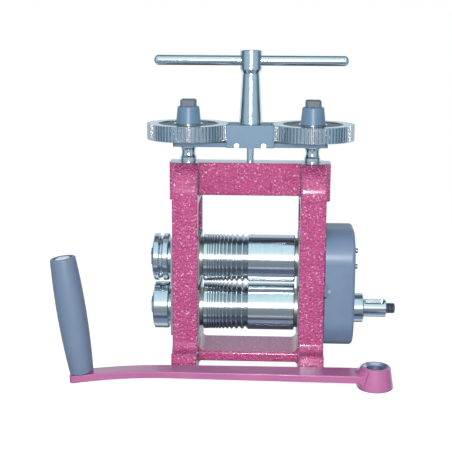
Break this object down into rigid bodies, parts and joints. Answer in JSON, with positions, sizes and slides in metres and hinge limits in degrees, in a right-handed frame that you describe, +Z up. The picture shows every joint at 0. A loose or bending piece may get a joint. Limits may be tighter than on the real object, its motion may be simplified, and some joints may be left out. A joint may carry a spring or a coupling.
{
  "type": "jewellers rolling mill",
  "caption": "Hand-cranked rolling mill with grooved and flat rolls in an arched frame, a geared T-handle that sets the roll gap, and its crank lying in front.",
  "frame": {"origin": "centre of the four bench bolt holes, on the underside of the feet", "axes": "+X along the rolls toward the drive shaft, -Y toward the operator, +Z up"},
  "size_m": [0.3529, 0.1489, 0.333],
  "materials": {
    "frame_paint": "hammered gloss paint on cast iron",
    "crank_paint": "smooth semi-gloss paint",
    "grey_paint": "smooth blue-grey paint",
    "bright_steel": "ground and polished steel",
    "turned_steel": "turned steel",
    "dark_steel": "blackened steel",
    "bronze": "bearing bronze",
    "grip_plastic": "satin plastic",
    "spring_steel": "spring wire"
  },
  "bodies": {
    "frame": {"frame_casting": "frame_paint", "lower_left_block": "turned_steel", "lower_right_block": "turned_steel", "lower_left_bush": "bronze", "lower_right_bush": "bronze", "left_lift_springs": "spring_steel", "right_lift_springs": "spring_steel", "gear_cover": "grey_paint", "cover_screws": "turned_steel", "cover_rim_screw": "bright_steel"},
    "lower_roll": {"lower_roll": "bright_steel", "lower_side_ring": "bright_steel", "lower_ring_spacer": "turned_steel", "lower_ring_nut": "turned_steel", "lower_ring_key": "dark_steel", "lower_drive_gear": "turned_steel", "lower_gear_key": "dark_steel", "shaft_collar": "bright_steel"},
    "upper_blocks": {"upper_left_block": "turned_steel", "upper_right_block": "turned_steel", "upper_left_bush": "bronze", "upper_right_bush": "bronze", "left_thrust_pad": "dark_steel", "right_thrust_pad": "dark_steel"},
    "upper_roll": {"upper_roll": "bright_steel", "upper_side_ring": "bright_steel", "upper_ring_spacer": "turned_steel", "upper_ring_nut": "turned_steel", "upper_ring_key": "dark_steel", "upper_drive_gear": "turned_steel", "upper_gear_key": "dark_steel", "upper_gear_nut": "dark_steel"},
    "bridge": {"bridge_bar": "grey_paint", "pinion_block": "grey_paint", "block_screws": "bright_steel", "idler_pins": "turned_steel"},
    "t_handle": {"handle_stem": "bright_steel", "handle_crossbar": "bright_steel", "handle_pinion": "turned_steel", "handle_pin": "dark_steel"},
    "left_screw": {"left_main_screw": "bright_steel", "left_adjusting_gear": "turned_steel", "left_gear_hub": "grey_paint", "left_gear_washer": "turned_steel", "left_clamp_bolt": "dark_steel"},
    "right_screw": {"right_main_screw": "bright_steel", "right_adjusting_gear": "turned_steel", "right_gear_hub": "grey_paint", "right_gear_washer": "turned_steel", "right_clamp_bolt": "dark_steel"},
    "left_idler": {"left_idler": "turned_steel"},
    "right_idler": {"right_idler": "turned_steel"},
    "crank": {"crank_arm": "crank_paint", "crank_boss": "crank_paint", "grip_spindle": "turned_steel"},
    "grip": {"grip": "grip_plastic", "grip_washer": "turned_steel"}
  },
  "joints": [
    {"name": "lower_roll_turn", "type": "hinge", "parent": "frame", "child": "lower_roll", "pos_m": [0, 0, 0.0625], "axis": [1, 0, 0], "continuous": true},
    {"name": "upper_roll_lift", "type": "slide", "parent": "frame", "child": "upper_blocks", "axis": [0, 0, 1], "range_m": [-0.0028, 0.0031], "stiffness_N_per_m": 350, "springref_m": 0.095, "deforming": ["left_lift_springs", "right_lift_springs"]},
    {"name": "upper_roll_turn", "type": "hinge", "parent": "upper_blocks", "child": "upper_roll", "pos_m": [0, 0, 0.1153], "axis": [1, 0, 0], "continuous": true},
    {"name": "bridge_lift", "type": "slide", "parent": "frame", "child": "bridge", "axis": [0, 0, 1], "range_m": [-0.0027, 0.003]},
    {"name": "handle_turn", "type": "hinge", "parent": "bridge", "child": "t_handle", "pos_m": [0, 0, 0.26], "axis": [0, 0, 1], "range_deg": [-2171, 2413]},
    {"name": "left_screw_turn", "type": "hinge", "parent": "bridge", "child": "left_screw", "pos_m": [-0.06438, 0, 0.25], "axis": [0, 0, 1], "range_deg": [-389, 433]},
    {"name": "right_screw_turn", "type": "hinge", "parent": "bridge", "child": "right_screw", "pos_m": [0.06438, 0, 0.25], "axis": [0, 0, 1], "range_deg": [-389, 433]},
    {"name": "left_idler_turn", "type": "hinge", "parent": "bridge", "child": "left_idler", "pos_m": [-0.015, 0, 0.248], "axis": [0, 0, 1], "range_deg": [-2413, 2171]},
    {"name": "right_idler_turn", "type": "hinge", "parent": "bridge", "child": "right_idler", "pos_m": [0.015, 0, 0.248], "axis": [0, 0, 1], "range_deg": [-2413, 2171]},
    {"name": "crank_lift_off", "type": "slide", "parent": "frame", "child": "crank", "axis": [0, 0, 1], "range_m": [0, 0.3]},
    {"name": "grip_turn", "type": "hinge", "parent": "crank", "child": "grip", "pos_m": [-0.1684, -0.0722, 0.00995], "axis": [-0.1374, 0, 0.9905], "continuous": true}
  ],
  "couplings": [
    {"joint": "upper_roll_turn", "follows": "lower_roll_turn", "ratio": -1},
    {"joint": "upper_roll_lift", "follows": "bridge_lift", "ratio": 1},
    {"joint": "handle_turn", "follows": "bridge_lift", "rad_per_m": 14032},
    {"joint": "left_screw_turn", "follows": "bridge_lift", "rad_per_m": 2513.3},
    {"joint": "right_screw_turn", "follows": "bridge_lift", "rad_per_m": 2513.3},
    {"joint": "left_idler_turn", "follows": "bridge_lift", "rad_per_m": -14032},
    {"joint": "right_idler_turn", "follows": "bridge_lift", "rad_per_m": -14032}
  ]
}
